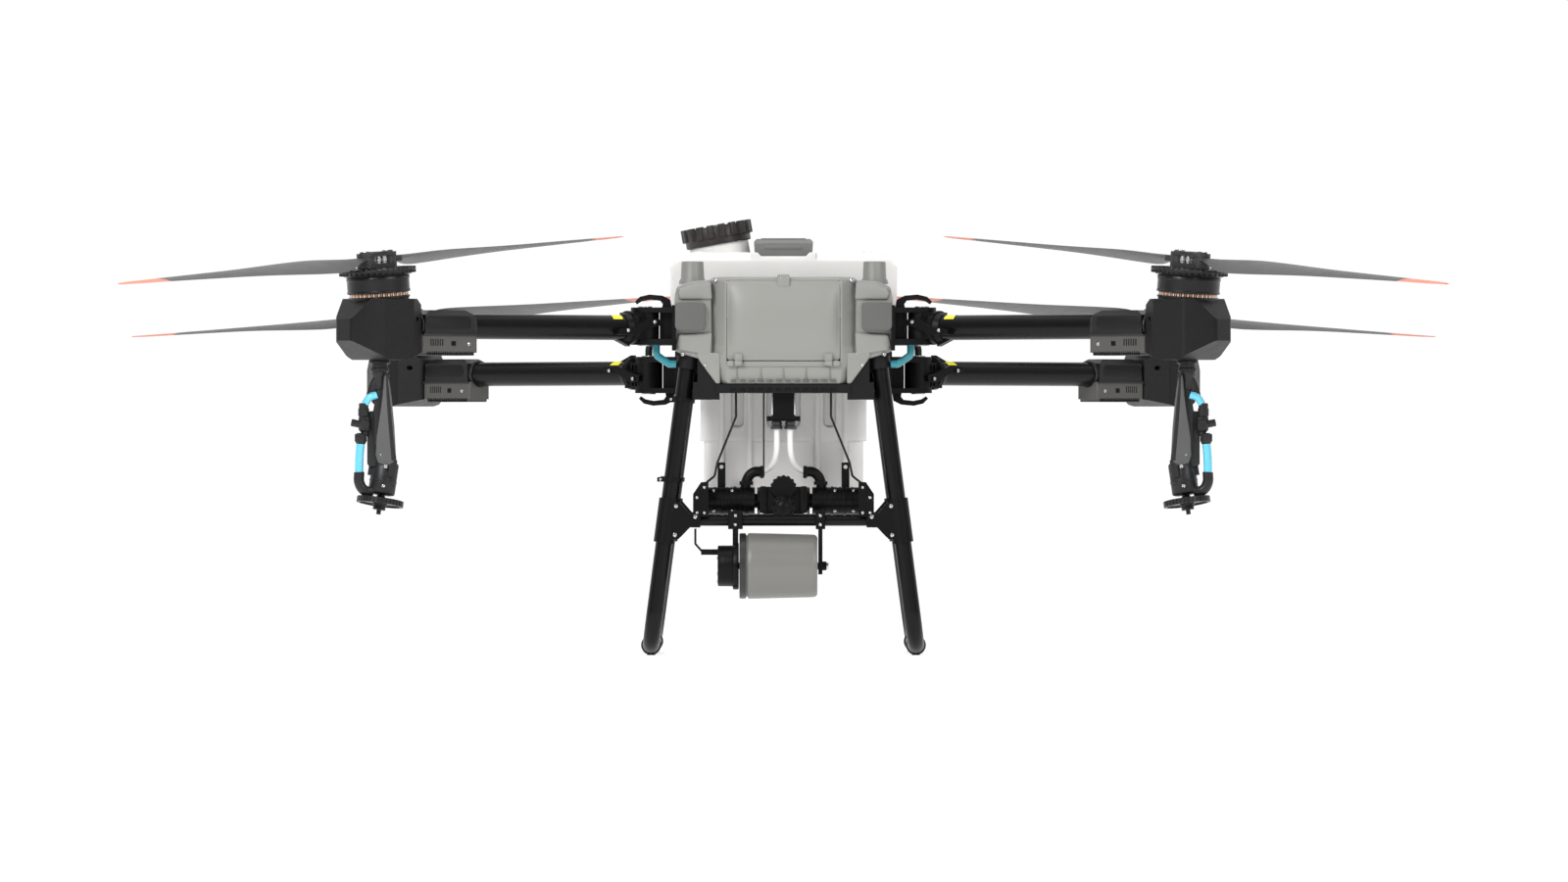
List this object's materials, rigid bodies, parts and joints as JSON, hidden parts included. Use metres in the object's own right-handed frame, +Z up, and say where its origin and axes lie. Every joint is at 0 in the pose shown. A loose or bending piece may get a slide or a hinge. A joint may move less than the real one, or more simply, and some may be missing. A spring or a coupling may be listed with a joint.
{
  "type": "agricultural spray drone",
  "caption": "Four-arm crop spraying drone with folding arms and blades, central tank, spinning-disc nozzles, skids and radar drum.",
  "frame": {"origin": "bottom centre of the bounding box, on the ground between the skids", "axes": "X left to right, -Y the front with the radar, +Z up"},
  "size_m": [2.463, 2.1722, 0.7793],
  "materials": {
    "dark_grey_frame": "dark grey",
    "warm_grey_shell": "warm light grey, satin",
    "bracket_dark_metal": "dark grey",
    "steel": "brushed",
    "white_tank": "translucent white",
    "satin_black_tube": "satin black",
    "black_rubber": "matt",
    "black_casting": "matt black",
    "pump_black": "matt black",
    "white_hose": "white",
    "teal_hose": "dark blue-green",
    "black_cable": "satin",
    "antenna_grey": "light grey",
    "pod_black_plastic": "fine grained black",
    "grey_aluminium": "bead blasted warm grey",
    "lance_black_plastic": "matt black",
    "bright_teal_hose": "bright blue-green",
    "lever_black": "satin black",
    "motor_dark_metal": "dark anodised",
    "blade_grey_composite": "dark grey with orange-red tip",
    "disc_black_plastic": "smooth black",
    "radar_grey": "light grey",
    "lid_brown": "dark brown",
    "battery_grey": "dark grey"
  },
  "bodies": {
    "airframe": {"fuselage_frame": "dark_grey_frame", "front_shell": "warm_grey_shell", "rear_shell": "warm_grey_shell", "arm_root_brackets": "bracket_dark_metal", "hinge_pins": "steel", "tank": "white_tank", "landing_skids": "satin_black_tube", "skid_feet": "black_rubber", "crossbars": "satin_black_tube", "leg_clamps": "black_casting", "spray_pumps": "pump_black", "pump_manifold": "pump_black", "flow_meter": "pump_black", "pump_hoses": "white_hose", "arm_hoses": "teal_hose", "cables": "black_cable", "radar_mount": "black_casting", "gnss_antennas": "antenna_grey"},
    "front_right_arm": {"front_right_arm_tube": "satin_black_tube", "front_right_arm_knuckle": "black_casting", "front_right_motor_pod": "pod_black_plastic", "front_right_esc_case": "grey_aluminium", "front_right_spray_lance": "lance_black_plastic", "front_right_lance_hose": "bright_teal_hose"},
    "front_right_lever": {"front_right_latch_lever": "lever_black"},
    "front_right_rotor": {"front_right_rotor": "motor_dark_metal"},
    "front_right_blade_outer": {"front_right_blade_outer": "blade_grey_composite"},
    "front_right_blade_inner": {"front_right_blade_inner": "blade_grey_composite"},
    "front_right_disc": {"front_right_nozzle_disc": "disc_black_plastic"},
    "front_left_arm": {"front_left_arm_tube": "satin_black_tube", "front_left_arm_knuckle": "black_casting", "front_left_motor_pod": "pod_black_plastic", "front_left_esc_case": "grey_aluminium", "front_left_spray_lance": "lance_black_plastic", "front_left_lance_hose": "bright_teal_hose"},
    "front_left_lever": {"front_left_latch_lever": "lever_black"},
    "front_left_rotor": {"front_left_rotor": "motor_dark_metal"},
    "front_left_blade_outer": {"front_left_blade_outer": "blade_grey_composite"},
    "front_left_blade_inner": {"front_left_blade_inner": "blade_grey_composite"},
    "front_left_disc": {"front_left_nozzle_disc": "disc_black_plastic"},
    "rear_right_arm": {"rear_right_arm_tube": "satin_black_tube", "rear_right_arm_knuckle": "black_casting", "rear_right_motor_pod": "pod_black_plastic", "rear_right_esc_case": "grey_aluminium"},
    "rear_right_lever": {"rear_right_latch_lever": "lever_black"},
    "rear_right_rotor": {"rear_right_rotor": "motor_dark_metal"},
    "rear_right_blade_outer": {"rear_right_blade_outer": "blade_grey_composite"},
    "rear_right_blade_inner": {"rear_right_blade_inner": "blade_grey_composite"},
    "rear_left_arm": {"rear_left_arm_tube": "satin_black_tube", "rear_left_arm_knuckle": "black_casting", "rear_left_motor_pod": "pod_black_plastic", "rear_left_esc_case": "grey_aluminium"},
    "rear_left_lever": {"rear_left_latch_lever": "lever_black"},
    "rear_left_rotor": {"rear_left_rotor": "motor_dark_metal"},
    "rear_left_blade_outer": {"rear_left_blade_outer": "blade_grey_composite"},
    "rear_left_blade_inner": {"rear_left_blade_inner": "blade_grey_composite"},
    "radar": {"radar_drum": "radar_grey"},
    "lid": {"tank_lid": "lid_brown"},
    "battery": {"battery_pack": "battery_grey"},
    "hatch": {"access_hatch": "warm_grey_shell"}
  },
  "joints": [
    {"name": "front_right_arm_fold", "type": "hinge", "parent": "airframe", "child": "front_right_arm", "pos_m": [0.245, -0.2543, 0.58], "axis": [0, 0, 1], "range_deg": [0, 102]},
    {"name": "front_right_lever_open", "type": "hinge", "parent": "airframe", "child": "front_right_lever", "pos_m": [0.206, -0.2543, 0.625], "axis": [0, -1, 0], "range_deg": [0, 60]},
    {"name": "front_right_rotor_spin", "type": "hinge", "parent": "front_right_arm", "child": "front_right_rotor", "pos_m": [0.7025, -0.6008, 0.629], "axis": [0.0625, -0.0474, 0.9969], "continuous": true},
    {"name": "front_right_blade_outer_fold", "type": "hinge", "parent": "front_right_rotor", "child": "front_right_blade_outer", "pos_m": [0.72515, -0.62346, 0.69271], "axis": [-0.0625, 0.0474, -0.9969], "range_deg": [-78, 0]},
    {"name": "front_right_blade_inner_fold", "type": "hinge", "parent": "front_right_rotor", "child": "front_right_blade_inner", "pos_m": [0.68811, -0.58439, 0.69689], "axis": [0.0625, -0.0474, 0.9969], "range_deg": [-78, 0]},
    {"name": "front_right_disc_spin", "type": "hinge", "parent": "front_right_arm", "child": "front_right_disc", "pos_m": [0.70091, -0.59959, 0.274], "axis": [-0.1384, 0.1048, 0.9848], "continuous": true},
    {"name": "front_left_arm_fold", "type": "hinge", "parent": "airframe", "child": "front_left_arm", "pos_m": [-0.245, -0.2543, 0.58], "axis": [0, 0, -1], "range_deg": [0, 102]},
    {"name": "front_left_lever_open", "type": "hinge", "parent": "airframe", "child": "front_left_lever", "pos_m": [-0.206, -0.2543, 0.625], "axis": [0, 1, 0], "range_deg": [0, 60]},
    {"name": "front_left_rotor_spin", "type": "hinge", "parent": "front_left_arm", "child": "front_left_rotor", "pos_m": [-0.7025, -0.6008, 0.629], "axis": [0.0625, 0.0474, -0.9969], "continuous": true},
    {"name": "front_left_blade_outer_fold", "type": "hinge", "parent": "front_left_rotor", "child": "front_left_blade_outer", "pos_m": [-0.72515, -0.62346, 0.69271], "axis": [-0.0625, -0.0474, 0.9969], "range_deg": [-78, 0]},
    {"name": "front_left_blade_inner_fold", "type": "hinge", "parent": "front_left_rotor", "child": "front_left_blade_inner", "pos_m": [-0.68811, -0.58439, 0.69689], "axis": [0.0625, 0.0474, -0.9969], "range_deg": [-78, 0]},
    {"name": "front_left_disc_spin", "type": "hinge", "parent": "front_left_arm", "child": "front_left_disc", "pos_m": [-0.70091, -0.59959, 0.274], "axis": [-0.1384, -0.1048, -0.9848], "continuous": true},
    {"name": "rear_right_arm_fold", "type": "hinge", "parent": "airframe", "child": "rear_right_arm", "pos_m": [0.245, 0.3043, 0.503], "axis": [0, 0, -1], "range_deg": [0, 94]},
    {"name": "rear_right_lever_open", "type": "hinge", "parent": "airframe", "child": "rear_right_lever", "pos_m": [0.206, 0.3043, 0.458], "axis": [0, 1, 0], "range_deg": [0, 95]},
    {"name": "rear_right_rotor_spin", "type": "hinge", "parent": "rear_right_arm", "child": "rear_right_rotor", "pos_m": [0.7025, 0.7142, 0.544], "axis": [0.039, 0.0349, 0.9986], "continuous": true},
    {"name": "rear_right_blade_outer_fold", "type": "hinge", "parent": "rear_right_rotor", "child": "rear_right_blade_outer", "pos_m": [0.72661, 0.73273, 0.6085], "axis": [-0.039, -0.0349, -0.9986], "range_deg": [-78, 0]},
    {"name": "rear_right_blade_inner_fold", "type": "hinge", "parent": "rear_right_rotor", "child": "rear_right_blade_inner", "pos_m": [0.68354, 0.70028, 0.61132], "axis": [0.039, 0.0349, 0.9986], "range_deg": [-78, 0]},
    {"name": "rear_left_arm_fold", "type": "hinge", "parent": "airframe", "child": "rear_left_arm", "pos_m": [-0.245, 0.3043, 0.503], "axis": [0, 0, 1], "range_deg": [0, 94]},
    {"name": "rear_left_lever_open", "type": "hinge", "parent": "airframe", "child": "rear_left_lever", "pos_m": [-0.206, 0.3043, 0.458], "axis": [0, -1, 0], "range_deg": [0, 95]},
    {"name": "rear_left_rotor_spin", "type": "hinge", "parent": "rear_left_arm", "child": "rear_left_rotor", "pos_m": [-0.7025, 0.7142, 0.544], "axis": [0.039, -0.0349, -0.9986], "continuous": true},
    {"name": "rear_left_blade_outer_fold", "type": "hinge", "parent": "rear_left_rotor", "child": "rear_left_blade_outer", "pos_m": [-0.72661, 0.73273, 0.6085], "axis": [-0.039, 0.0349, 0.9986], "range_deg": [-78, 0]},
    {"name": "rear_left_blade_inner_fold", "type": "hinge", "parent": "rear_left_rotor", "child": "rear_left_blade_inner", "pos_m": [-0.68354, 0.70028, 0.61132], "axis": [0.039, -0.0349, -0.9986], "range_deg": [-78, 0]},
    {"name": "radar_spin", "type": "hinge", "parent": "airframe", "child": "radar", "pos_m": [0, -0.2443, 0.159], "axis": [1, 0, 0], "continuous": true},
    {"name": "lid_lift", "type": "slide", "parent": "airframe", "child": "lid", "axis": [-0.1736, 0, 0.9848], "range_m": [0, 0.12]},
    {"name": "battery_lift", "type": "slide", "parent": "airframe", "child": "battery", "axis": [0, 0, 1], "range_m": [0, 0.3]},
    {"name": "hatch_open", "type": "hinge", "parent": "airframe", "child": "hatch", "pos_m": [0, -0.2883, 0.517], "axis": [1, 0, 0], "range_deg": [0, 100]}
  ]
}
